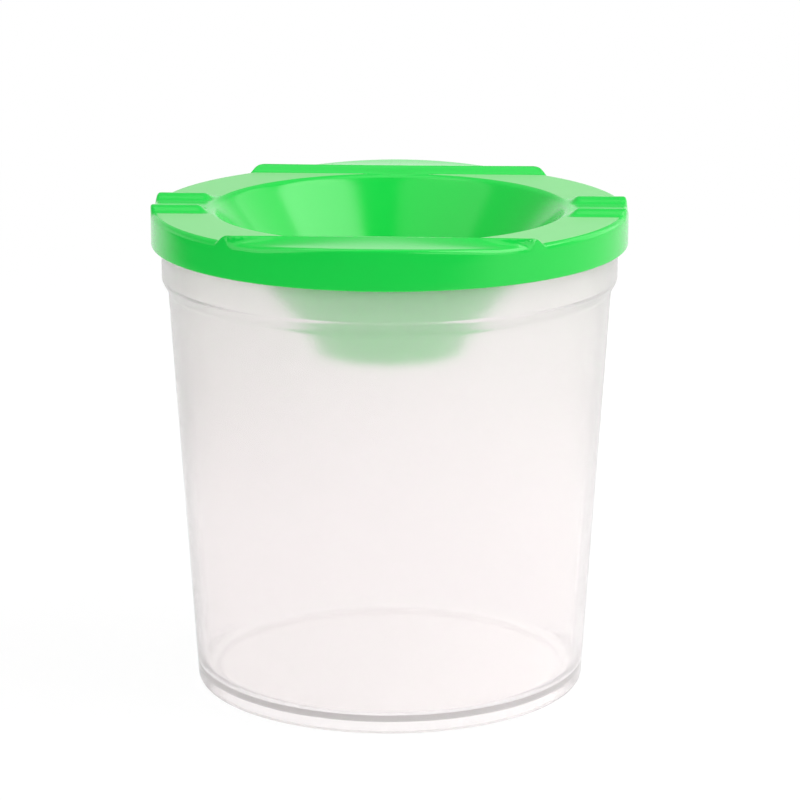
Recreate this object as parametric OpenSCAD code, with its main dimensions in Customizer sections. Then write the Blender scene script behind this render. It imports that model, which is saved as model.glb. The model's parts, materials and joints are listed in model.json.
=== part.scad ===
// Brush washer: a tapered see-through cup and a press-on lid with a funnel,
// two raised edge pads and two grooved brush rests.
// Millimetres, +Z up, origin at the centre of the cup's base.

/* [Cup] */
// Height from the table to the top of the cup's rim
cup_h = 80.8; // [70:0.2:100]
// Outer diameter at the base
base_d = 66.1; // [58:0.1:72]
// Outer diameter just under the step
body_top_d = 74.5; // [68:0.1:75.5]
// Outer diameter of the collar that the lid covers
collar_d = 76.6; // [75.6:0.1:82]
// Height of the collar, from the step up to the rim
collar_h = 10.5; // [8:0.1:16]
// Height of the slanting step between body and collar
step_h = 2; // [1:0.1:4]
// Thickness of the side wall
cup_wall = 1; // [0.7:0.05:1.4]
// Thickness of the floor
floor_t = 1.2; // [0.8:0.1:2.5]
// Radius of the corner between floor and side wall, outside
base_corner_r = 1.2; // [0.6:0.1:2]
// Height of the foot ring under the floor
foot_h = 1.5; // [0.4:0.1:2.4]
// Width of the foot ring's flat face
foot_w = 1.6; // [1:0.1:4]
// How far the rim bead stands out from the collar
rim_bead_out = 0.25; // [0.1:0.05:0.4]
// Height of the rim bead
rim_bead_h = 1.6; // [1:0.1:2.4]

/* [Lid] */
// Thickness of the flat top and of the funnel
lid_wall = 1.2; // [0.8:0.05:1.8]
// Thickness of the skirt
skirt_wall = 1; // [0.8:0.05:1.6]
// Length of the skirt below the seat on the cup's rim
skirt_h = 4.8; // [4.4:0.1:7]
// How far the snap bead stands in from the skirt
snap_bead_in = 0.35; // [0.2:0.05:0.6]
// Height of the snap bead
snap_bead_h = 1.4; // [0.8:0.1:1.8]
// Clearance between the snap bead and the cup's rim bead
snap_gap = 0.1; // [0.05:0.05:0.3]
// Length of the seal ring inside the cup's mouth
seal_h = 2.6; // [1.5:0.1:5]
// Thickness of the seal ring
seal_wall = 0.9; // [0.6:0.05:1.4]
// Clearance between the seal ring and the inside of the collar
seal_gap = 0.1; // [0.05:0.05:0.3]
// Radius of the lid's top outer edge
lid_edge_r = 1; // [0.4:0.1:1.6]

/* [Funnel] */
// Diameter of the funnel's mouth at the lid's top face
mouth_d = 59; // [50:0.5:60]
// Diameter of the brush hole at the funnel's tip
hole_d = 22.6; // [16:0.2:30]
// Depth from the lid's top face to the funnel's tip
funnel_depth = 24.4; // [18:0.2:40]
// Length of the straight lip at the funnel's tip
lip_h = 1.6; // [1:0.1:4]
// Radius of the funnel mouth's edge
mouth_edge_r = 1.2; // [0.5:0.1:2]

/* [Edge pads] */
// Height of the crest along a pad's straight side, above the lid's top face
crest_h = 1.2; // [0.5:0.1:2]
// Distance from the funnel's mouth to the middle of the slope up to the crest
pad_gap = 1; // [0.6:0.1:2.5]
// Width of the slope up to the crest
pad_slope_w = 1.5; // [0.8:0.1:2.5]
// Width over which the crest falls again towards the rim
crest_fall_w = 2.4; // [1.2:0.2:6]
// Height of a pad's crowned middle above the lid's top face
crown_h = 1.1; // [0.3:0.1:2]
// Radius of the crowned middle, along the rim
crown_r = 180; // [120:10:400]
// Radius of the outer top edge of the pads and ridges
rest_edge_r = 1.7; // [0.8:0.1:2]

/* [Brush rests] */
// Height of the ridges above the lid's top face
ridge_h = 1; // [0.5:0.1:2]
// Distance between the two ridges of a brush rest
ridge_pitch = 10.4; // [7:0.2:14]
// Width of one ridge at its foot
ridge_w = 5.8; // [3:0.2:6.6]
// Width of the slope at the inner end of the ridges
rest_end_w = 1.6; // [0.8:0.1:2.5]

/* [Hidden] */
$fn = 128;
arc_steps = 6;
slope_steps = 8;
overlap = 0.4;
beyond = 5;

// Cup
base_r = base_d / 2;
body_top_r = body_top_d / 2;
collar_r = collar_d / 2;
step_top_z = cup_h - collar_h;
step_low_z = step_top_z - step_h;
floor_z = foot_h + floor_t;
floor_corner_r = base_corner_r + cup_wall;
foot_in_r = base_r - base_corner_r - foot_w;
foot_slope = foot_h / 2;
// A cut edge is rounded by this share of its wall, so a narrow flat is left
edge_share = 0.35;
// Slope of the step from the upright, which lifts the step inside the wall
step_angle = atan((collar_r - body_top_r) / step_h);
step_lift = cup_wall * tan(step_angle / 2);
collar_in_r = collar_r - cup_wall;
rim_bead_r = collar_r + rim_bead_out;
rim_edge_r = cup_wall * edge_share;

// Lid
seat_z = cup_h;
top_z = seat_z + lid_wall;
skirt_z = seat_z - skirt_h;
snap_bead_r = rim_bead_r + snap_gap;
skirt_in_r = snap_bead_r + snap_bead_in;
lid_r = skirt_in_r + skirt_wall;
snap_bead_z = seat_z - rim_bead_h - snap_gap - snap_bead_h / 2;
skirt_edge_r = skirt_wall * edge_share;
seal_r = collar_in_r - seal_gap;
seal_in_r = seal_r - seal_wall;
seal_tip = seal_wall * edge_share;

// Funnel
mouth_r = mouth_d / 2;
hole_r = hole_d / 2;
tip_z = top_z - funnel_depth;
lip_z = tip_z + lip_h;
// Slope of the funnel's wall from the upright
funnel_angle = atan((mouth_r - hole_r) / (top_z - lip_z));
funnel_side = lid_wall / cos(funnel_angle);
function funnel_r(z) = hole_r + (z - lip_z) * tan(funnel_angle);
// The outside of the wall meets the outside of the lip here
lip_r = hole_r + lid_wall;
lip_out_z = lip_z - (funnel_side - lid_wall) / tan(funnel_angle);

// Edge pads and brush rests
crest_z = top_z + crest_h;
crown_z = top_z + crown_h;
ridge_z = top_z + ridge_h;
rest_in_r = mouth_r + mouth_edge_r / 2;
pad_y = mouth_r + pad_gap - pad_slope_w / 2;
crest_y = pad_y + pad_slope_w;
pocket_y = crest_y + lid_wall / 2;
pocket_r = seal_in_r - lid_wall / 2;

// Points along an arc, from angle a0 to angle a1
function arc(centre, r, a0, a1) = [
    for (i = [0 : arc_steps])
        let (a = a0 + (a1 - a0) * i / arc_steps)
        centre + r * [cos(a), sin(a)]
];
// Points along an S-shaped slope, level at both ends, from p to q
function slope_level(p, q) = [
    for (i = [0 : slope_steps])
        let (t = i / slope_steps)
        [p[0] + (q[0] - p[0]) * t, p[1] + (q[1] - p[1]) * (1 - cos(180 * t)) / 2]
];
// Points along an S-shaped slope, upright at both ends, from p to q
function slope_upright(p, q) = [
    for (i = [0 : slope_steps])
        let (t = i / slope_steps)
        [p[0] + (q[0] - p[0]) * (1 - cos(180 * t)) / 2, p[1] + (q[1] - p[1]) * t]
];
// Points along a rounded bead that stands off an upright line at r, from z0 to z1
function bead(r, out, z0, z1) = [
    for (i = [0 : slope_steps])
        let (t = i / slope_steps)
        [r + out * pow(sin(180 * t), 2), z0 + (z1 - z0) * t]
];

// Section of the cup, from the foot up the outside and down the inside
function cup_section() = concat(
    [[foot_in_r, 0]],
    arc([base_r - base_corner_r, base_corner_r], base_corner_r, -90, 0),
    slope_upright([body_top_r, step_low_z], [collar_r, step_top_z]),
    bead(collar_r, rim_bead_out, cup_h - rim_bead_h, cup_h - rim_edge_r),
    arc([collar_r - rim_edge_r, cup_h - rim_edge_r], rim_edge_r, 0, 90),
    arc([collar_in_r + rim_edge_r, cup_h - rim_edge_r], rim_edge_r, 90, 180),
    slope_upright([collar_in_r, step_top_z + step_lift],
                  [body_top_r - cup_wall, step_low_z + step_lift]),
    arc([base_r - cup_wall - floor_corner_r, floor_z + floor_corner_r],
        floor_corner_r, 0, -90),
    [[0, floor_z], [0, foot_h], [foot_in_r - foot_slope, foot_h]]
);

// Section of the lid, from the top edge down the skirt, under the top,
// round the seal ring, down outside the funnel and up inside it
function lid_section() = concat(
    arc([lid_r - lid_edge_r, top_z - lid_edge_r], lid_edge_r, 90, 0),
    arc([lid_r - skirt_edge_r, skirt_z + skirt_edge_r], skirt_edge_r, 0, -90),
    arc([skirt_in_r + skirt_edge_r, skirt_z + skirt_edge_r], skirt_edge_r, -90, -180),
    bead(skirt_in_r, -snap_bead_in,
         snap_bead_z - snap_bead_h / 2, snap_bead_z + snap_bead_h / 2),
    [[skirt_in_r, seat_z], [seal_r, seat_z]],
    [[seal_r, seat_z - seal_h + seal_tip], [seal_r - seal_tip, seat_z - seal_h]],
    [[seal_in_r, seat_z - seal_h], [seal_in_r, seat_z]],
    [[funnel_r(seat_z) + funnel_side, seat_z], [lip_r, lip_out_z]],
    [[lip_r, tip_z], [hole_r, tip_z], [hole_r, lip_z]],
    arc([mouth_r + mouth_edge_r * tan(45 - funnel_angle / 2), top_z - mouth_edge_r],
        mouth_edge_r, 180 - funnel_angle, 90)
);

// Section of the raised ring, up to height z, that the pads and ridges are cut from
function ring_section(z) =
    let (low_z = min(top_z - lid_edge_r, z - rest_edge_r) - overlap / 2)
    concat(
        slope_level([rest_in_r, top_z], [rest_in_r + rest_end_w, z]),
        arc([lid_r - rest_edge_r, z - rest_edge_r], rest_edge_r, 90, 0),
        [[lid_r, low_z], [lid_r - overlap, low_z]],
        [[lid_r - lid_edge_r - overlap, top_z - overlap], [rest_in_r, top_z - overlap]]
    );

// Section of a ridge that rises from y0 to its highest line at y1 and falls to y2
function crest_section(y0, y1, y2, z) = concat(
    [[y0, top_z - beyond]],
    slope_level([y0, top_z], [y1, z]),
    slope_level([y1, z], [y2, top_z]),
    [[y2, top_z - beyond]]
);

// Extrudes an upright section, drawn across Y, along X from x0 to x1
module along_x(x0, x1) {
    translate([x0, 0, 0]) rotate([90, 0, 90]) linear_extrude(x1 - x0) children();
}

// A crowned block that begins at y, with its highest line along Y at height z
module crowned_block(y, z) {
    translate([0, y, z - crown_r]) rotate([-90, 0, 0]) cylinder(r = crown_r, h = lid_r);
}

// Cuts its children off to the raised ring of height z
module within_ring(z) {
    intersection() {
        rotate_extrude() polygon(ring_section(z));
        children();
    }
}

module pad_crests() {
    for (turn = [0, 180])
        rotate([0, 0, turn])
            along_x(-lid_r - beyond, lid_r + beyond)
                polygon(crest_section(pad_y, crest_y, crest_y + crest_fall_w, crest_z));
}

module pad_crowns() {
    for (turn = [0, 180])
        rotate([0, 0, turn]) crowned_block(crest_y, crown_z);
}

// Hollows under the crowned middles, which keep the moulding's wall even
module pad_pockets() {
    for (turn = [0, 180])
        rotate([0, 0, turn])
            intersection() {
                translate([0, 0, seat_z - overlap]) cylinder(r = pocket_r, h = beyond);
                crowned_block(pocket_y, crown_z - lid_wall);
            }
}

module brush_rest_ridges() {
    for (turn = [0, 180], side = [-1, 1])
        rotate([0, 0, turn]) translate([0, side * ridge_pitch / 2, 0])
            along_x(mouth_r / 2, lid_r + beyond)
                polygon(crest_section(-ridge_w / 2, 0, ridge_w / 2, ridge_z));
}

module cup() {
    color([0.93, 0.94, 0.96, 0.45])
        rotate_extrude() polygon(cup_section());
}

module lid() {
    color([0.12, 0.82, 0.30])
        difference() {
            union() {
                rotate_extrude() polygon(lid_section());
                within_ring(crest_z) pad_crests();
                within_ring(crown_z) pad_crowns();
                within_ring(ridge_z) brush_rest_ridges();
            }
            pad_pockets();
        }
}

cup();
lid();
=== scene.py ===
import json
import math
from types import SimpleNamespace

import bmesh
import bpy
from bpy.props import FloatProperty, FloatVectorProperty, IntProperty, PointerProperty
from mathutils import Matrix, Vector


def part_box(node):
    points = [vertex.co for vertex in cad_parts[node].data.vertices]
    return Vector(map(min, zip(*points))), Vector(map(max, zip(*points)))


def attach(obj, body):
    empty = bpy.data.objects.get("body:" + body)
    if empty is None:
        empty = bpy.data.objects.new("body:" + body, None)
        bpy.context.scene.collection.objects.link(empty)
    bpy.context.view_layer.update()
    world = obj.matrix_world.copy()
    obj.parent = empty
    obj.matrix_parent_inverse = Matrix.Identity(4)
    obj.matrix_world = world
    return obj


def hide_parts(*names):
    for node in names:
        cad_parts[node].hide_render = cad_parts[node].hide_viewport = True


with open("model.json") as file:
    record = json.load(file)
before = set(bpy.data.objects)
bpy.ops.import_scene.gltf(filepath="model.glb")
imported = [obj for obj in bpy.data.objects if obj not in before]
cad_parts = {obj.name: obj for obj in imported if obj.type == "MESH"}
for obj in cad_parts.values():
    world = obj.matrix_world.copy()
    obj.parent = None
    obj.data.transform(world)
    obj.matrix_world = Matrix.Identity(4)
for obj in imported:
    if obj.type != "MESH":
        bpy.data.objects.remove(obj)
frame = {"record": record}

bl_info = {
    "name": "Brush Washer with Lid",
    "version": (1, 0, 0),
    "blender": (4, 5, 0),
    "location": "View3D > Sidebar > Brush Washer",
    "description": "Makes a see-through brush washer cup and its press-on funnel lid",
    "category": "Add Mesh",
}

# Sizes that the frame gives, in metres
MM = 0.001
CUP_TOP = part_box("cup")[1]
LID_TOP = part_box("lid")[1]
LID_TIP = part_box("lid")[0]
HOLE_RADIUS = next(
    mount["dims"]["r_mm"] for mount in frame["record"]["mounts"] if mount["name"] == "brush_hole"
) * MM

# Fineness of the meshes: steps round a quarter and round a corner, and the longest edges
QUARTER_STEPS = 60
BEVEL_STEPS = 6
LONGEST_EDGE_MM = 1.2
FINE_EDGE_MM = 0.4
# Rows of cuts over a slope, and over the fall behind a pad's crest
SLOPE_CUTS = 8
FALL_CUTS = 3
# How far from a cut its faces may lie, and below which distance points are one
CUT_REACH_MM = 2.0
MERGE_MM = 0.001

# Radii of the mouldings' small roundings: tight inner corners, edges, and softer bends
TIGHT_MM = 0.3
EDGE_MM = 0.35
CORNER_MM = 0.4
SOFT_MM = 0.5
# Radii at the foot's inner edge, at the cup's step, and where the funnel meets its lip
FOOT_EDGE_MM = 0.2
STEP_MM = 1.0
LIP_INNER_MM = 1.0
LIP_OUTER_MM = 0.8
# Share of the rim bead's height over which the bead comes out
BEAD_RUN = 0.35
# How much higher the step lies inside than outside, as a share of the cup's wall
STEP_LIFT = 0.25
# Heights over the skirt's lower edge at which the snap bead starts, is fullest and ends
SNAP_START_MM = 1.2
SNAP_FULL_MM = 1.9
SNAP_END_MM = 2.6
# The slope up to a pad's crest: 0 is straight, 1 is an s-curve
SLOPE_EASE = 0.5
# The fall behind the crest: 1 is straight, more is steeper at first
FALL_EASE = 2.5
SHORTEST_FALL_MM = 1.2

# Refraction and the skin's depth of the two plastics. The cup's is low, so that it shows no
# dark rings where its roundings bend the view
CUP_IOR = 1.30
CUP_SKIN_DEPTH = 0.004 * MM
LID_IOR = 1.49
LID_SKIN_DEPTH = 0.0025 * MM
# How much of the lamps' light passes each face of the cup
LAMP_SHARE = (0.85, 0.85, 0.85, 1.0)
# Heights between which the cup's wall turns from clear to frosted
FROST_LOW = 0.030
FROST_HIGH = 0.056
# Width of the ramp at the edges of the matte ring, whose paler green is painted sheen
MASK_EDGE = 0.08 * MM
# How much a face looks up (1 is level) where the ring starts to be matte and painted with sheen, and is
# fully so
LEVEL_FROM = 0.97
LEVEL_FULL = 0.995

# The floor's size, the point that the lamps are aimed at, and the width of the camera's film
FLOOR_RADIUS = 4.0
FLOOR_SIDES = 96
AIM = Vector((0.0, 0.0, 0.06))
SENSOR_MM = 36.0
# The floor's own brightness, and how light its open part is
PAPER = 0.9
OPEN_LIGHT = 0.83
# Distances from the washer between which the floor's shading fades out
SHADE_NEAR = 0.1
SHADE_FAR = 0.5
# The mirrored floor: how dark it is in front, which way it gets white, and over which stretch
FLOOR_FRONT = 0.03
FLOOR_BRIGHT_WAY = (0.62, 0.78, 0.0)
FLOOR_DARK = -0.195
FLOOR_WHITE = 0.05
# The mirrored room: its tones in front and at the back, and where one turns into the other
ROOM_FRONT = 0.12
ROOM_BACK = 1.0
ROOM_TURN = (-0.6, 0.7)
# The mirrored ceiling's share of that tone, and how far up it starts and is full
CEILING_SHARE = 0.4
CEILING_TURN = (0.22, 0.42)

# Lamps: name, direction from the washer, distance, width, height, power in watts
LAMPS = (
    ("key_light", (0.60, -0.085, 0.795), 0.70, 0.50, 0.45, 2.55),
    ("front_light", (0.60, -0.70, 0.38), 1.10, 1.00, 0.70, 3.4),
    ("left_light", (-0.85, -0.45, 0.35), 0.90, 0.60, 0.60, 1.5),
    ("top_light", (0.0, 0.15, 0.99), 1.00, 0.90, 0.60, 1.5),
    ("right_light", (0.74, 0.52, 0.45), 0.90, 0.60, 0.60, 1.15),
    ("ceiling_light", (-0.50, -0.25, 0.83), 0.90, 0.70, 0.70, 1.4),
)


def length(name, description, millimetres):
    """A length property, given in millimetres and kept in metres."""
    return FloatProperty(
        name=name, description=description, default=millimetres * MM, min=0.0, unit="LENGTH", precision=5
    )


def colour(name, description, rgb):
    """A colour property, in linear light."""
    return FloatVectorProperty(
        name=name, description=description, default=rgb, size=3, min=0.0, max=1.0, subtype="COLOR"
    )


class CupSettings(bpy.types.PropertyGroup):
    """Sizes and colour of the cup."""

    base_radius: length("Base Radius", "Outer radius at the table", 33.05)
    body_top_radius: length("Body Top Radius", "Outer radius just under the step", 37.25)
    collar_radius: length("Collar Radius", "Outer radius of the collar under the lid", 38.3)
    collar_height: length("Collar Height", "From the step up to the rim", 10.5)
    step_height: length("Step Height", "Height of the slanting step", 2.0)
    wall: length("Wall", "Thickness of the side wall", 1.0)
    floor_thickness: length("Floor Thickness", "Thickness of the floor", 1.2)
    foot_height: length("Foot Height", "Height of the foot ring under the floor", 1.5)
    foot_width: length("Foot Width", "Width of the foot ring's flat face", 1.6)
    base_rounding: length("Base Rounding", "Radius of the outer corner at the base", 1.2)
    rim_bead_height: length("Rim Bead Height", "Height of the bead round the rim", 1.6)
    tint: colour("Tint", "Colour of the milky plastic", (0.980, 0.946, 0.950))
    clearness: FloatProperty(
        name="Clearness", description="Share of light that passes each face", default=0.79,
        min=0.0, max=1.0, subtype="FACTOR",
    )
    clear_roughness: FloatProperty(
        name="Clear Roughness", description="Roughness of the lower wall", default=0.10,
        min=0.0, max=1.0, subtype="FACTOR",
    )
    frosted_roughness: FloatProperty(
        name="Frosted Roughness", description="Roughness of the wall under the lid", default=0.25,
        min=0.0, max=1.0, subtype="FACTOR",
    )


class LidSettings(bpy.types.PropertyGroup):
    """Sizes and colour of the lid."""

    wall: length("Wall", "Thickness of the flat top and of the funnel", 1.2)
    skirt_wall: length("Skirt Wall", "Thickness of the skirt", 1.0)
    skirt_height: length("Skirt Height", "Skirt below the seat on the cup's rim", 4.8)
    edge_rounding: length("Edge Rounding", "Radius of the top outer edge", 1.0)
    snap_bead: length("Snap Bead", "How far the snap bead stands in from the skirt", 0.35)
    seal_radius: length("Seal Radius", "Outer radius of the ring inside the cup's mouth", 37.2)
    seal_wall: length("Seal Wall", "Thickness of the seal ring", 0.9)
    seal_height: length("Seal Height", "Length of the seal ring", 2.6)
    mouth_radius: length("Mouth Radius", "Radius of the funnel's mouth", 29.5)
    mouth_rounding: length("Mouth Rounding", "Radius of the mouth's edge", 1.8)
    lip_height: length("Lip Height", "Straight lip at the funnel's tip", 1.6)
    crest_height: length("Crest Height", "Height of the crest along a pad's straight side", 1.2)
    crest_offset: length("Crest Offset", "From the middle to a pad's crest", 31.25)
    pad_slope: length("Pad Slope", "Width of the slope up to the crest", 1.5)
    crown_height: length("Crown Height", "Height of a pad's middle at the rim", 0.8)
    crown_radius: length("Crown Radius", "Radius of a pad's top, along the rim", 235.0)
    pad_rounding: length("Pad Rounding", "Radius of the outer top edge at full height", 0.35)
    pocket_edge: length("Pocket Edge", "Width of the walls of the hollows under the pads", 0.25)
    ridge_height: length("Ridge Height", "Height of the ridges", 1.0)
    ridge_pitch: length("Ridge Pitch", "Distance between the crests of a rest", 10.4)
    ridge_width: length("Ridge Width", "Width of one ridge at its foot", 5.8)
    ridge_end: length("Ridge End", "Width of the slope at a ridge's inner end", 1.6)
    green: colour("Green", "Colour of the polished plastic", (0.006, 0.61, 0.060))
    # Painted sheen: a paler green that stands in for the light the flat ring mirrors at a grazing angle;
    # its matte roughness is set apart
    painted_sheen_green: colour("Painted Sheen Green", "Colour of the matte ring round the funnel", (0.225, 0.66, 0.24))
    gloss_roughness: FloatProperty(
        name="Gloss Roughness", description="Roughness of the polished faces", default=0.17,
        min=0.0, max=1.0, subtype="FACTOR",
    )
    matte_roughness: FloatProperty(
        name="Matte Roughness", description="Roughness of the matte ring", default=0.5,
        min=0.0, max=1.0, subtype="FACTOR",
    )


class StageSettings(bpy.types.PropertyGroup):
    """The camera, the light and the floor."""

    camera_distance: length("Camera Distance", "From the washer's axis, level with the floor", 575.5)
    camera_side: length("Camera Side", "How far the camera stands to the right of the axis", 1.74)
    camera_height: length("Camera Height", "Above the floor", 194.25)
    camera_pitch: FloatProperty(
        name="Camera Pitch", description="How far the camera looks down",
        default=math.radians(14.214), subtype="ANGLE",
    )
    camera_turn: FloatProperty(
        name="Camera Turn", description="How far the camera stands round the washer",
        default=math.radians(2.7), subtype="ANGLE",
    )
    focal_pixels: FloatProperty(
        name="Focal Length", description="In pixels of the picture", default=3492.2, subtype="PIXEL"
    )
    picture_pixels: IntProperty(
        name="Picture Size", description="Width of the picture", default=800, subtype="PIXEL"
    )
    room_light: FloatProperty(name="Room Light", description="Strength of the even light", default=0.42)
    lamp_light: FloatProperty(name="Lamp Light", description="Factor on all the lamps", default=1.0)
    floor_shade: FloatProperty(
        name="Floor Shade", description="How much of the shadow the floor keeps", default=0.15,
        min=0.0, max=1.0, subtype="FACTOR",
    )


class WasherSettings(bpy.types.PropertyGroup):
    """Everything that can be changed."""

    cup: PointerProperty(type=CupSettings)
    lid: PointerProperty(type=LidSettings)
    stage: PointerProperty(type=StageSettings)


# Mesh helpers. Shapes are made in millimetres, and finish_piece brings them to metres


def in_millimetres(settings):
    """The lengths of a settings group, in millimetres."""
    values = {}
    for name, prop in settings.bl_rna.properties.items():
        if prop.type == "FLOAT" and prop.unit == "LENGTH":
            values[name] = getattr(settings, name) / MM
    return SimpleNamespace(**values)


def s_curve(share):
    """Goes from 0 to 1 as share does, level at both ends."""
    return 0.5 - 0.5 * math.cos(math.pi * min(max(share, 0.0), 1.0))


def rounded_chain(bm, corners, closed):
    """Edges through corners (radius, height, rounding), each corner an arc of that radius."""
    points = [Vector((radius, 0.0, height)) for radius, height, _ in corners]
    verts = [bm.verts.new(point) for point in points]
    count = len(verts)
    for i in range(count if closed else count - 1):
        bm.edges.new((verts[i], verts[(i + 1) % count]))
    for i, (_, _, rounding) in enumerate(corners):
        if rounding == 0:
            continue
        coming = points[i] - points[i - 1]
        going = points[(i + 1) % count] - points[i]
        bmesh.ops.bevel(
            bm, geom=[verts[i]], offset=rounding * math.tan(coming.angle(going) / 2),
            offset_type="OFFSET", segments=BEVEL_STEPS, profile=0.5, affect="VERTICES", material=-1,
        )


def split_long_edges(bm, longest, wanted=lambda edge: True):
    """Cuts each wanted edge into equal pieces no longer than longest."""
    for edge in [edge for edge in bm.edges if wanted(edge)]:
        cuts = math.ceil(edge.calc_length() / longest) - 1
        if cuts > 0:
            bmesh.ops.subdivide_edges(bm, edges=[edge], cuts=cuts)


def spin_quarter(bm):
    """Turns the section a quarter round the washer's axis, from +X to +Y."""
    bmesh.ops.spin(
        bm, geom=bm.verts[:] + bm.edges[:], cent=(0, 0, 0), axis=(0, 0, 1), dvec=(0, 0, 0),
        angle=math.pi / 2, steps=QUARTER_STEPS, use_merge=False, use_duplicate=False,
    )


def mirror_round(bm):
    """Mirrors a quarter to the other three, and closes seams and poles."""
    for axis in ("X", "Y"):
        bmesh.ops.mirror(
            bm, geom=[*bm.verts, *bm.edges, *bm.faces], merge_dist=MERGE_MM, axis=axis
        )
    bmesh.ops.remove_doubles(bm, verts=bm.verts[:], dist=MERGE_MM)


def finish_piece(bm, name, material):
    """Closes off a bmesh as an object in metres, with smooth faces that point outwards."""
    bmesh.ops.recalc_face_normals(bm, faces=bm.faces[:])
    bmesh.ops.transform(bm, matrix=Matrix.Scale(MM, 4), verts=bm.verts[:])
    mesh = bpy.data.meshes.new(name)
    bm.to_mesh(mesh)
    bm.free()
    mesh.shade_smooth()
    mesh.materials.append(material)
    piece = bpy.data.objects.new(name, mesh)
    bpy.context.scene.collection.objects.link(piece)
    return piece


# Node helpers


def add_node(tree, kind, inputs=None, **options):
    """A node with its options and the values of its unlinked inputs."""
    node = tree.nodes.new(kind)
    for name, value in options.items():
        setattr(node, name, value)
    for name, value in (inputs or {}).items():
        node.inputs[name].default_value = value
    return node


def link(tree, *pairs):
    """Joins sockets, two by two."""
    for start, end in pairs:
        tree.links.new(start, end)


def new_group(name, inputs, outputs):
    """A shader node group with float inputs (a Vector one first) and float outputs."""
    tree = bpy.data.node_groups.new(name, "ShaderNodeTree")
    tree.interface.new_socket("Vector", in_out="INPUT", socket_type="NodeSocketVector")
    for title, value in inputs.items():
        socket = tree.interface.new_socket(title, in_out="INPUT", socket_type="NodeSocketFloat")
        socket.default_value = value
    for title in outputs:
        tree.interface.new_socket(title, in_out="OUTPUT", socket_type="NodeSocketFloat")
    return tree, tree.nodes.new("NodeGroupInput"), tree.nodes.new("NodeGroupOutput")


def place_group(tree, group, vector, **values):
    """Puts a group in a material, with its own values."""
    node = tree.nodes.new("ShaderNodeGroup")
    node.node_tree = group
    for name, value in values.items():
        node.inputs[name.replace("_", " ")].default_value = value
    tree.links.new(vector, node.inputs["Vector"])
    return node


def mould_skin_group():
    """Height of a moulded plastic skin: a fine orange peel over slow waves."""
    tree, given, result = new_group(
        "Mould Skin", {"Peel Scale": 2500.0, "Wave Scale": 60.0, "Wave Share": 0.5}, ["Height"]
    )
    peel = add_node(tree, "ShaderNodeTexNoise", {"Detail": 2.0, "Roughness": 0.5})
    wave = add_node(tree, "ShaderNodeTexNoise", {"Detail": 1.0, "Roughness": 0.4})
    mix = add_node(tree, "ShaderNodeMix")
    link(
        tree,
        (given.outputs["Vector"], peel.inputs["Vector"]),
        (given.outputs["Peel Scale"], peel.inputs["Scale"]),
        (given.outputs["Vector"], wave.inputs["Vector"]),
        (given.outputs["Wave Scale"], wave.inputs["Scale"]),
        (given.outputs["Wave Share"], mix.inputs["Factor"]),
        (peel.outputs["Fac"], mix.inputs["A"]),
        (wave.outputs["Fac"], mix.inputs["B"]),
        (mix.outputs["Result"], result.inputs["Height"]),
    )
    return tree


def handling_group():
    """Roughness that smudges and hairline scratches change a little from place to place."""
    tree, given, result = new_group(
        "Handling Marks",
        {"Roughness": 0.3, "Smudge Scale": 90.0, "Smudge Depth": 0.1, "Scratch Scale": 900.0,
         "Scratch Depth": 0.1},
        ["Roughness"],
    )
    smudge = add_node(tree, "ShaderNodeTexNoise", {"Detail": 3.0, "Roughness": 0.55})
    stretch = add_node(tree, "ShaderNodeMapping", {"Rotation": (0.3, 0.9, 0.6), "Scale": (1.0, 0.04, 1.0)})
    scratch = add_node(tree, "ShaderNodeTexNoise", {"Detail": 1.0})
    thin = add_node(
        tree, "ShaderNodeMapRange", {"From Min": 0.66, "From Max": 0.72, "To Min": 0.0, "To Max": 1.0}
    )
    centre = add_node(tree, "ShaderNodeMath", {1: 0.5}, operation="SUBTRACT")
    smudged = add_node(tree, "ShaderNodeMath", operation="MULTIPLY_ADD")
    scratched = add_node(tree, "ShaderNodeMath", operation="MULTIPLY_ADD", use_clamp=True)
    link(
        tree,
        (given.outputs["Vector"], smudge.inputs["Vector"]),
        (given.outputs["Smudge Scale"], smudge.inputs["Scale"]),
        (given.outputs["Vector"], stretch.inputs["Vector"]),
        (stretch.outputs["Vector"], scratch.inputs["Vector"]),
        (given.outputs["Scratch Scale"], scratch.inputs["Scale"]),
        (scratch.outputs["Fac"], thin.inputs["Value"]),
        (smudge.outputs["Fac"], centre.inputs[0]),
        (centre.outputs["Value"], smudged.inputs[0]),
        (given.outputs["Smudge Depth"], smudged.inputs[1]),
        (given.outputs["Roughness"], smudged.inputs[2]),
        (thin.outputs["Result"], scratched.inputs[0]),
        (given.outputs["Scratch Depth"], scratched.inputs[1]),
        (smudged.outputs["Value"], scratched.inputs[2]),
        (scratched.outputs["Value"], result.inputs["Roughness"]),
    )
    return tree


def level_group():
    """Mask that goes smoothly from 0 at one height to 1 at another."""
    tree, given, result = new_group("Level Mask", {"From": 0.0, "To": 1.0}, ["Mask"])
    split = add_node(tree, "ShaderNodeSeparateXYZ")
    ramp = add_node(tree, "ShaderNodeMapRange", interpolation_type="SMOOTHSTEP")
    link(
        tree,
        (given.outputs["Vector"], split.inputs["Vector"]),
        (split.outputs["Z"], ramp.inputs["Value"]),
        (given.outputs["From"], ramp.inputs["From Min"]),
        (given.outputs["To"], ramp.inputs["From Max"]),
        (ramp.outputs["Result"], result.inputs["Mask"]),
    )
    return tree


def shared_group(name, make):
    """The node group of that name, made the first time it is asked for."""
    return bpy.data.node_groups.get(name) or make()


# Materials


def new_material(name):
    """An empty material: itself, its nodes, its output and the piece's own coordinates."""
    material = bpy.data.materials.new(name)
    material.use_nodes = True
    tree = material.node_tree
    tree.nodes.clear()
    output = add_node(tree, "ShaderNodeOutputMaterial")
    where = add_node(tree, "ShaderNodeTexCoord").outputs["Object"]
    return material, tree, output, where


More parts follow.
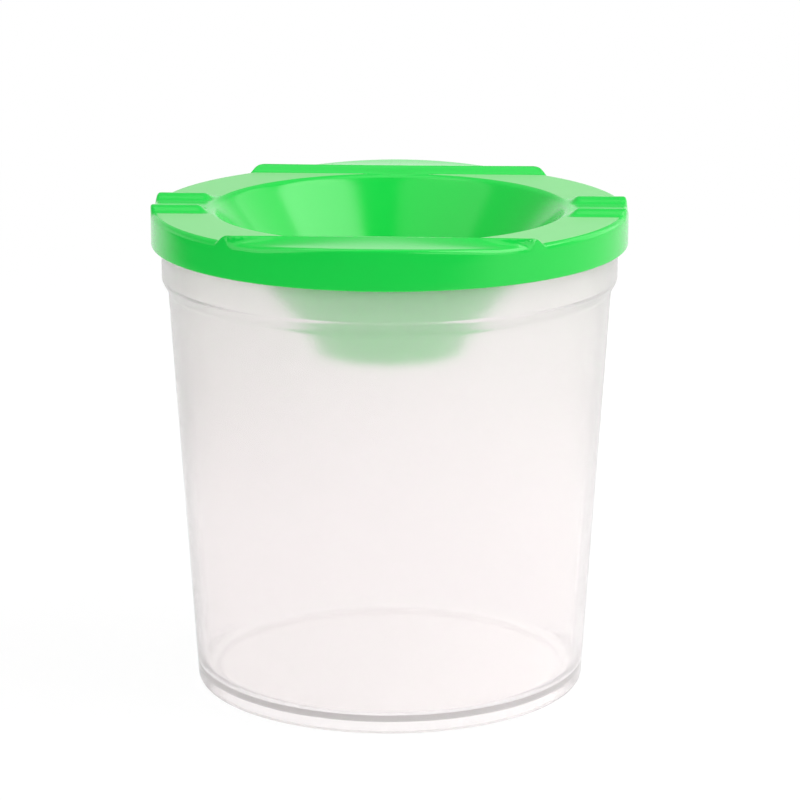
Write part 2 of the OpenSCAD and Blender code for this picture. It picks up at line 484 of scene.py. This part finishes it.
def add_skin_bump(tree, shader, where, distance, **values):
    """The moulded skin's fine relief, fed to the shader's normal."""
    skin = place_group(tree, shared_group("Mould Skin", mould_skin_group), where, **values)
    bump = add_node(tree, "ShaderNodeBump", {"Strength": 1.0, "Distance": distance})
    link(
        tree,
        (skin.outputs["Height"], bump.inputs["Height"]),
        (bump.outputs["Normal"], shader.inputs["Normal"]),
    )


def milky_plastic(cup):
    """See-through polypropylene: clear low down, frosted towards the collar."""
    material, tree, output, where = new_material("milky_plastic")
    shader = add_node(
        tree, "ShaderNodeBsdfPrincipled",
        {"Base Color": (*cup.tint, 1.0), "Transmission Weight": cup.clearness, "IOR": CUP_IOR},
    )
    let_lamps_through(tree, shader, output)
    frost = place_group(
        tree, shared_group("Level Mask", level_group), where, From=FROST_LOW, To=FROST_HIGH
    )
    rough = add_node(
        tree, "ShaderNodeMix", {"A": cup.clear_roughness, "B": cup.frosted_roughness}
    )
    marks = place_group(
        tree, shared_group("Handling Marks", handling_group), where,
        Smudge_Depth=0.04, Scratch_Depth=0.0,
    )
    link(
        tree,
        (frost.outputs["Mask"], rough.inputs["Factor"]),
        (rough.outputs["Result"], marks.inputs["Roughness"]),
        (marks.outputs["Roughness"], shader.inputs["Roughness"]),
    )
    add_skin_bump(
        tree, shader, where, CUP_SKIN_DEPTH, Peel_Scale=1800.0, Wave_Scale=45.0, Wave_Share=0.7
    )
    return material


def let_lamps_through(tree, shader, output):
    """Lets part of the lamps' light pass, so that it reaches what is inside the cup."""
    open_way = add_node(tree, "ShaderNodeBsdfTransparent", {"Color": LAMP_SHARE})
    path = add_node(tree, "ShaderNodeLightPath")
    passing = add_node(tree, "ShaderNodeMixShader")
    link(
        tree,
        (path.outputs["Is Shadow Ray"], passing.inputs[0]),
        (shader.outputs["BSDF"], passing.inputs[1]),
        (open_way.outputs["BSDF"], passing.inputs[2]),
        (passing.outputs["Shader"], output.inputs["Surface"]),
    )


def green_plastic(lid):
    """Green polypropylene: polished, but for the matte ring round the funnel, which is rougher and painted
    a paler green for its sheen.
    """
    material, tree, output, where = new_material("green_plastic")
    shader = add_node(tree, "ShaderNodeBsdfPrincipled", {"IOR": LID_IOR})
    ring = matte_and_sheen_mask(tree, where, lid)
    # Painted sheen: the flat ring's colour is mixed towards a paler green that stands in for its sheen
    tone = add_node(
        tree, "ShaderNodeMix", {"A": (*lid.green, 1.0), "B": (*lid.painted_sheen_green, 1.0)},
        data_type="RGBA",
    )
    rough = add_node(tree, "ShaderNodeMix", {"A": lid.gloss_roughness, "B": lid.matte_roughness})
    marks = place_group(
        tree, shared_group("Handling Marks", handling_group), where,
        Smudge_Depth=0.08, Scratch_Depth=0.04,
    )
    link(
        tree,
        (ring, tone.inputs["Factor"]),
        (tone.outputs["Result"], shader.inputs["Base Color"]),
        (ring, rough.inputs["Factor"]),
        (rough.outputs["Result"], marks.inputs["Roughness"]),
        (marks.outputs["Roughness"], shader.inputs["Roughness"]),
        (shader.outputs["BSDF"], output.inputs["Surface"]),
    )
    add_skin_bump(tree, shader, where, LID_SKIN_DEPTH)
    return material


def matte_and_sheen_mask(tree, where, lid):
    """Mask of the lid's flat, upward-facing ring, without the pads and the ground of the brush rests:
    where it is matte and painted with a paler sheen.
    """
    flat_level = CUP_TOP.z + lid.wall
    rest_end = (lid.ridge_pitch + lid.ridge_width) / 2
    pad_start = lid.crest_offset - lid.pad_slope
    split = add_node(tree, "ShaderNodeSeparateXYZ")
    side = add_node(tree, "ShaderNodeMath", operation="ABSOLUTE")
    facing = add_node(tree, "ShaderNodeNewGeometry")
    up = add_node(tree, "ShaderNodeSeparateXYZ")
    link(
        tree,
        (where, split.inputs["Vector"]),
        (split.outputs["Y"], side.inputs[0]),
        (facing.outputs["Normal"], up.inputs["Vector"]),
    )
    masks = (
        band_mask(tree, split.outputs["Z"], flat_level - MASK_EDGE, flat_level + MASK_EDGE),
        band_mask(tree, side.outputs["Value"], rest_end, pad_start + MASK_EDGE),
        ramp_mask(tree, up.outputs["Z"], LEVEL_FROM, LEVEL_FULL),
    )
    return multiply(tree, multiply(tree, masks[0], masks[1]), masks[2])


def ramp_mask(tree, value, start, end):
    """Mask that goes from 0 at start to 1 at end."""
    ramp = add_node(tree, "ShaderNodeMapRange", {"From Min": start, "From Max": end})
    tree.links.new(value, ramp.inputs["Value"])
    return ramp.outputs["Result"]


def soft_ramp(tree, value, over, tones):
    """Goes smoothly from the first tone to the second while value goes over a stretch."""
    ramp = add_node(
        tree, "ShaderNodeMapRange",
        {"From Min": over[0], "From Max": over[1], "To Min": tones[0], "To Max": tones[1]},
        interpolation_type="SMOOTHSTEP",
    )
    tree.links.new(value, ramp.inputs["Value"])
    return ramp.outputs["Result"]


def band_mask(tree, value, low, high):
    """Mask that is 1 from low to high, with a short ramp outside each."""
    return multiply(
        tree,
        ramp_mask(tree, value, low - MASK_EDGE, low),
        ramp_mask(tree, value, high + MASK_EDGE, high),
    )


def calculate(tree, operation, first, second, **options):
    """What an operation makes of two values."""
    result = add_node(tree, "ShaderNodeMath", operation=operation, **options)
    link(tree, (first, result.inputs[0]), (second, result.inputs[1]))
    return result.outputs["Value"]


def multiply(tree, first, second):
    """The product of two values."""
    return calculate(tree, "MULTIPLY", first, second)


# Cup


def cup_corners(cup):
    """Corners of the cup's section, from the middle of the underside round to the floor."""
    rim = CUP_TOP.z / MM
    bead = CUP_TOP.x / MM
    step_top = rim - cup.collar_height
    step_low = step_top - cup.step_height
    floor = cup.foot_height + cup.floor_thickness
    foot_inner = cup.base_radius - cup.base_rounding - cup.foot_width
    bead_low = rim - cup.rim_bead_height
    lift = STEP_LIFT * cup.wall
    floor_rounding = cup.base_rounding + cup.wall
    # The body's straight side starts above the base's rounding
    lean = (cup.body_top_radius - cup.base_radius) / (step_low - cup.base_rounding)
    return [
        (0, cup.foot_height, 0),
        (foot_inner - cup.foot_height / 2, cup.foot_height, TIGHT_MM),
        (foot_inner, 0, FOOT_EDGE_MM),
        (cup.base_radius - lean * cup.base_rounding, 0, cup.base_rounding),
        (cup.body_top_radius, step_low, STEP_MM),
        (cup.collar_radius, step_top, STEP_MM),
        (cup.collar_radius, bead_low, SOFT_MM),
        (bead, bead_low + cup.rim_bead_height * BEAD_RUN, SOFT_MM),
        (bead, rim, EDGE_MM),
        (cup.collar_radius - cup.wall, rim, EDGE_MM),
        (cup.collar_radius - cup.wall, step_top + lift, TIGHT_MM),
        (cup.body_top_radius - cup.wall, step_low + lift, STEP_MM + cup.wall),
        (cup.base_radius - cup.wall - lean * floor_rounding, floor, floor_rounding),
        (0, floor, 0),
    ]


class WASHER_OT_cup(bpy.types.Operator):
    """Make the see-through cup"""

    bl_idname = "washer.make_cup"
    bl_label = "Make Cup"

    def execute(self, context):
        settings = context.scene.brush_washer.cup
        bm = bmesh.new()
        rounded_chain(bm, cup_corners(in_millimetres(settings)), closed=False)
        split_long_edges(bm, LONGEST_EDGE_MM)
        spin_quarter(bm)
        mirror_round(bm)
        piece = finish_piece(bm, "cup_shell", milky_plastic(settings))
        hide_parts("cup")
        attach(piece, "cup")
        return {"FINISHED"}


# Lid


def lid_corners(lid):
    """Corners of the lid's section: top, skirt, underside, seal ring, and both funnel sides."""
    seat = CUP_TOP.z / MM
    top = seat + lid.wall
    outer = LID_TOP.x / MM
    skirt_low = seat - lid.skirt_height
    skirt_inner = outer - lid.skirt_wall
    bead = skirt_inner - lid.snap_bead
    seal_inner = lid.seal_radius - lid.seal_wall
    seal_low = seat - lid.seal_height
    hole = HOLE_RADIUS / MM
    tip = LID_TIP.z / MM
    lip = tip + lid.lip_height
    slope = math.atan((lid.mouth_radius - hole) / (top - lip))
    side = lid.wall / math.cos(slope)
    under = hole + (seat - lip) * math.tan(slope) + side
    pocket = pocket_radius(lid)
    lip_outer = lip - (side - lid.wall) / math.tan(slope)
    return [
        (lid.mouth_radius, top, lid.mouth_rounding),
        (outer, top, lid.edge_rounding),
        (outer, skirt_low, EDGE_MM),
        (skirt_inner, skirt_low, EDGE_MM),
        (skirt_inner, skirt_low + SNAP_START_MM, TIGHT_MM),
        (bead, skirt_low + SNAP_FULL_MM, CORNER_MM),
        (skirt_inner, skirt_low + SNAP_END_MM, TIGHT_MM),
        (skirt_inner, seat, TIGHT_MM),
        (lid.seal_radius, seat, TIGHT_MM),
        (lid.seal_radius, seal_low, TIGHT_MM),
        (seal_inner, seal_low, TIGHT_MM),
        (seal_inner, seat, TIGHT_MM),
        (pocket + lid.pocket_edge, seat, 0),
        (pocket, seat, 0),
        (under, seat, CORNER_MM),
        (hole + lid.wall, lip_outer, LIP_OUTER_MM),
        (hole + lid.wall, tip, TIGHT_MM),
        (hole, tip, TIGHT_MM),
        (hole, lip, LIP_INNER_MM),
    ]


def pocket_radius(lid):
    """Outer radius of the hollows under the pads."""
    return lid.seal_radius - lid.seal_wall - lid.wall / 2


def pocket_start(lid):
    """Distance from the middle to the straight wall of the hollows under the pads."""
    return lid.crest_offset + lid.wall / 2


def crown_rise(lid, x):
    """How high a pad's top stands at the rim, most in the middle."""
    return max(0.0, lid.crown_height - x * x / (2 * lid.crown_radius))


def pad_rise(lid, x, y):
    """How high a pad stands: a slope up to its straight crest, then a fall to the rim's crown."""
    behind = abs(y) - lid.crest_offset
    if behind <= 0:
        share = min(max(1 + behind / lid.pad_slope, 0.0), 1.0)
        return lid.crest_height * (SLOPE_EASE * s_curve(share) + (1 - SLOPE_EASE) * share)
    rim = LID_TOP.x / MM - lid.pad_rounding
    rim_behind = math.sqrt(max(rim * rim - x * x, 0.0)) - lid.crest_offset
    share = min(behind / max(rim_behind, SHORTEST_FALL_MM), 1.0)
    fallen = 1 - (1 - share) ** FALL_EASE
    return lid.crest_height + fallen * (crown_rise(lid, x) - lid.crest_height)


def ridge_rise(lid, x, y):
    """How high a ridge of a brush rest stands."""
    crest = s_curve(1 - abs(abs(y) - lid.ridge_pitch / 2) / (lid.ridge_width / 2))
    start = lid.mouth_radius + lid.mouth_rounding / 2
    return lid.ridge_height * crest * s_curve((math.hypot(x, y) - start) / lid.ridge_end)


def raised_point(lid, radius, height):
    """Where a point of the flat ring or its outer edge lies at a crest's full height."""
    top = CUP_TOP.z / MM + lid.wall
    outer = LID_TOP.x / MM
    flat_end = outer - lid.edge_rounding
    pad_end = outer - lid.pad_rounding
    pad_top = top + lid.crest_height
    start = lid.mouth_radius
    if radius <= flat_end:
        share = (radius - start) / (flat_end - start)
        return start + share * (pad_end - start), pad_top
    turn = math.atan2(height - (top - lid.edge_rounding), radius - flat_end)
    turned_radius = pad_end + lid.pad_rounding * math.cos(turn)
    return turned_radius, pad_top - lid.pad_rounding + lid.pad_rounding * math.sin(turn)


def cut_across(bm, zone, distance):
    """Cuts the zone's faces along a line parallel to X, that distance from the middle."""
    faces = [
        face for face in bm.faces
        if face[zone] and abs(face.calc_center_median().y - distance) < CUT_REACH_MM
    ]
    edges = {edge for face in faces for edge in face.edges}
    verts = {vert for face in faces for vert in face.verts}
    bmesh.ops.bisect_plane(
        bm, geom=[*verts, *edges, *faces], dist=MERGE_MM,
        plane_co=(0, distance, 0), plane_no=(0, 1, 0),
    )


def mark_zone(bm, name, inside):
    """Marks the faces whose corners all lie inside, and returns the mark."""
    zone = bm.faces.layers.int.new(name)
    for face in bm.faces:
        face[zone] = all(inside(vert.co.xy.length, vert.co.z) for vert in face.verts)
    return zone


def zone_verts(bm, zone):
    """The corners of a zone's faces."""
    return {vert for face in bm.faces if face[zone] for vert in face.verts}


def shape_top(bm, lid):
    """Cuts a quarter of the lid's top along the slopes of pad and ridge, and raises them."""
    edge_low = CUP_TOP.z / MM + lid.wall - lid.edge_rounding - MERGE_MM
    zone = mark_zone(
        bm, "top", lambda radius, height: height > edge_low and radius > lid.mouth_radius
    )
    pad_start = lid.crest_offset - lid.pad_slope
    for i in range(SLOPE_CUTS + 1):
        cut_across(bm, zone, pad_start + lid.pad_slope * i / SLOPE_CUTS)
    for i in range(1, FALL_CUTS + 1):
        cut_across(bm, zone, lid.crest_offset + SHORTEST_FALL_MM * i / FALL_CUTS)
    for i in range(2 * SLOPE_CUTS + 1):
        cut_across(bm, zone, lid.ridge_pitch / 2 + lid.ridge_width * (i / (2 * SLOPE_CUTS) - 0.5))
    for vert in zone_verts(bm, zone):
        x, y = vert.co.xy
        share = max(pad_rise(lid, x, y), ridge_rise(lid, x, y)) / lid.crest_height
        if share > 0:
            radius = vert.co.xy.length
            new_radius, new_height = raised_point(lid, radius, vert.co.z)
            scale = 1 + share * (new_radius / radius - 1)
            vert.co.x *= scale
            vert.co.y *= scale
            vert.co.z += share * (new_height - vert.co.z)


def shape_pockets(bm, lid):
    """Hollows a quarter of the lid's underside out under the pad's crown."""
    seat = CUP_TOP.z / MM
    outer = pocket_radius(lid) + lid.pocket_edge + MERGE_MM
    start = pocket_start(lid)
    zone = mark_zone(
        bm, "under", lambda radius, height: abs(height - seat) < MERGE_MM and radius < outer
    )
    cut_across(bm, zone, start - lid.pocket_edge)
    cut_across(bm, zone, start)
    for vert in zone_verts(bm, zone):
        if vert.co.y > start - MERGE_MM and vert.co.xy.length < pocket_radius(lid) + MERGE_MM:
            vert.co.z += crown_rise(lid, vert.co.x)


class WASHER_OT_lid(bpy.types.Operator):
    """Make the press-on lid with its funnel, pads and brush rests"""

    bl_idname = "washer.make_lid"
    bl_label = "Make Lid"

    def execute(self, context):
        settings = context.scene.brush_washer.lid
        lid = in_millimetres(settings)
        top = CUP_TOP.z / MM + lid.wall
        bm = bmesh.new()
        rounded_chain(bm, lid_corners(lid), closed=True)
        split_long_edges(
            bm, FINE_EDGE_MM, lambda edge: all(vert.co.z > top - MERGE_MM for vert in edge.verts)
        )
        split_long_edges(bm, LONGEST_EDGE_MM)
        spin_quarter(bm)
        shape_top(bm, lid)
        shape_pockets(bm, lid)
        mirror_round(bm)
        piece = finish_piece(bm, "lid_moulding", green_plastic(settings))
        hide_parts("lid")
        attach(piece, "lid")
        return {"FINISHED"}


# Stage


def make_floor(shade):
    """A round white floor that shows white to the camera and keeps part of the shadow."""
    bm = bmesh.new()
    bmesh.ops.create_circle(bm, cap_ends=True, radius=FLOOR_RADIUS / MM, segments=FLOOR_SIDES)
    floor = finish_piece(bm, "floor", floor_material(shade))


def floor_material(shade):
    """White paper, shown at full white less part of its shadow, and mirrored darker in front."""
    material, tree, output, where = new_material("white_floor")
    paper = add_node(tree, "ShaderNodeBsdfDiffuse")
    white = add_node(tree, "ShaderNodeEmission", {"Color": (1.0, 1.0, 1.0, 1.0)})
    shown = add_node(tree, "ShaderNodeAddShader")
    path = add_node(tree, "ShaderNodeLightPath")
    seen = seen_mask(tree, path)
    shadow = shadow_share(tree, where, shade)
    tone = add_node(tree, "ShaderNodeMix", {"A": 1.0})
    bright = add_node(tree, "ShaderNodeMath", {0: PAPER}, operation="MULTIPLY")
    missing = add_node(tree, "ShaderNodeMath", {1: -OPEN_LIGHT, 2: 1.0}, operation="MULTIPLY_ADD")
    glow = multiply(tree, seen, missing.outputs["Value"])
    link(
        tree,
        (seen, tone.inputs["Factor"]),
        (shadow, tone.inputs["B"]),
        (tone.outputs["Result"], bright.inputs[1]),
        (bright.outputs["Value"], paper.inputs["Color"]),
        (shadow, missing.inputs[0]),
        (multiply(tree, glow, mirror_tone(tree, path, where)), white.inputs["Strength"]),
        (paper.outputs["BSDF"], shown.inputs[0]),
        (white.outputs["Emission"], shown.inputs[1]),
        (shown.outputs["Shader"], output.inputs["Surface"]),
    )
    return material


def shadow_share(tree, where, shade):
    """How much of its shading the floor shows, less further from the washer."""
    distance = add_node(tree, "ShaderNodeVectorMath", operation="LENGTH")
    tree.links.new(where, distance.inputs[0])
    return soft_ramp(tree, distance.outputs["Value"], (SHADE_NEAR, SHADE_FAR), (shade, 0.0))


def mirror_tone(tree, path, where):
    """What gloss mirrors of the floor: dark in front and to the left, white at the back."""
    along = add_node(tree, "ShaderNodeVectorMath", {1: FLOOR_BRIGHT_WAY}, operation="DOT_PRODUCT")
    tone = add_node(tree, "ShaderNodeMix", {"A": 1.0})
    mirrored = soft_ramp(
        tree, along.outputs["Value"], (FLOOR_DARK, FLOOR_WHITE), (FLOOR_FRONT, 1.0)
    )
    link(
        tree,
        (where, along.inputs[0]),
        (mirror_mask(tree, path), tone.inputs["Factor"]),
        (mirrored, tone.inputs["B"]),
    )
    return tone.outputs["Result"]


def seen_mask(tree, path):
    """1 for rays that show a thing: camera rays, and those through or off glass and gloss."""
    seen = calculate(tree, "MAXIMUM", path.outputs["Is Camera Ray"], path.outputs["Is Glossy Ray"])
    return calculate(tree, "MAXIMUM", seen, path.outputs["Is Transmission Ray"])


def mirror_mask(tree, path):
    """1 for rays mirrored by gloss, and 0 for those that pass through glass."""
    return calculate(
        tree, "SUBTRACT", path.outputs["Is Glossy Ray"], path.outputs["Is Transmission Ray"],
        use_clamp=True,
    )


def make_room(scene, room_light):
    """A room that shows white to the camera and through glass, and that gloss mirrors darker."""
    world = bpy.data.worlds.new("white_room")
    scene.world = world
    world.use_nodes = True
    tree = world.node_tree
    light = tree.nodes["Background"]
    light.inputs["Color"].default_value = (1.0, 1.0, 1.0, 1.0)
    path = add_node(tree, "ShaderNodeLightPath")
    direction = add_node(tree, "ShaderNodeTexCoord")
    split = add_node(tree, "ShaderNodeSeparateXYZ")
    depth = soft_ramp(tree, split.outputs["Y"], ROOM_TURN, (ROOM_FRONT, ROOM_BACK))
    ceiling = soft_ramp(tree, split.outputs["Z"], CEILING_TURN, (1.0, CEILING_SHARE))
    glossy = add_node(tree, "ShaderNodeMix", {"A": room_light})
    strength = add_node(tree, "ShaderNodeMix", {"B": 1.0})
    shown = calculate(
        tree, "MAXIMUM", path.outputs["Is Camera Ray"], path.outputs["Is Transmission Ray"]
    )
    link(
        tree,
        (direction.outputs["Generated"], split.inputs["Vector"]),
        (path.outputs["Is Glossy Ray"], glossy.inputs["Factor"]),
        (multiply(tree, depth, ceiling), glossy.inputs["B"]),
        (shown, strength.inputs["Factor"]),
        (glossy.outputs["Result"], strength.inputs["A"]),
        (strength.outputs["Result"], light.inputs["Strength"]),
    )


def make_lamps(scene, factor):
    """Soft boxes round the washer. They light it, and show only in gloss."""
    for name, direction, distance, width, height, power in LAMPS:
        light = bpy.data.lights.new(name, "AREA")
        light.shape = "RECTANGLE"
        light.size = width
        light.size_y = height
        light.energy = power * factor
        lamp = bpy.data.objects.new(name, light)
        towards = Vector(direction).normalized()
        lamp.location = AIM + towards * distance
        lamp.rotation_euler = towards.to_track_quat("Z", "Y").to_euler()
        lamp.visible_camera = False
        lamp.visible_transmission = False
        scene.collection.objects.link(lamp)


def make_camera(scene, stage):
    """The camera at the photograph's viewing angle."""
    data = bpy.data.cameras.new("camera")
    data.sensor_width = SENSOR_MM
    data.lens = stage.focal_pixels / stage.picture_pixels * SENSOR_MM
    camera = bpy.data.objects.new("camera", data)
    turn = Matrix.Rotation(stage.camera_turn, 4, "Z")
    place = Vector((stage.camera_side, -stage.camera_distance, stage.camera_height))
    camera.location = turn @ place
    camera.rotation_euler = (math.pi / 2 - stage.camera_pitch, 0.0, stage.camera_turn)
    scene.collection.objects.link(camera)
    scene.camera = camera


class WASHER_OT_stage(bpy.types.Operator):
    """Make the floor, the light and the camera"""

    bl_idname = "washer.make_stage"
    bl_label = "Make Stage"

    def execute(self, context):
        scene = context.scene
        stage = scene.brush_washer.stage
        scene.view_settings.view_transform = "Standard"
        make_floor(stage.floor_shade)
        make_room(scene, stage.room_light)
        make_lamps(scene, stage.lamp_light)
        make_camera(scene, stage)
        return {"FINISHED"}


class WASHER_PT_panel(bpy.types.Panel):
    """Sizes, colours and the buttons that make the washer"""

    bl_idname = "WASHER_PT_panel"
    bl_label = "Brush Washer"
    bl_space_type = "VIEW_3D"
    bl_region_type = "UI"
    bl_category = "Brush Washer"

    def draw(self, context):
        settings = context.scene.brush_washer
        for group, operator in (
            (settings.cup, WASHER_OT_cup),
            (settings.lid, WASHER_OT_lid),
            (settings.stage, WASHER_OT_stage),
        ):
            box = self.layout.box()
            box.operator(operator.bl_idname)
            for name in group.bl_rna.properties.keys():
                if name not in ("rna_type", "name"):
                    box.prop(group, name)


CLASSES = (
    CupSettings,
    LidSettings,
    StageSettings,
    WasherSettings,
    WASHER_OT_cup,
    WASHER_OT_lid,
    WASHER_OT_stage,
    WASHER_PT_panel,
)


def register():
    for cls in CLASSES:
        bpy.utils.register_class(cls)
    bpy.types.Scene.brush_washer = PointerProperty(type=WasherSettings)


def unregister():
    del bpy.types.Scene.brush_washer
    for cls in reversed(CLASSES):
        bpy.utils.unregister_class(cls)


def main():
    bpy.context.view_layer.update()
    register()
    bpy.ops.washer.make_stage()
    bpy.ops.washer.make_cup()
    bpy.ops.washer.make_lid()


if __name__ == "__main__":
    main()
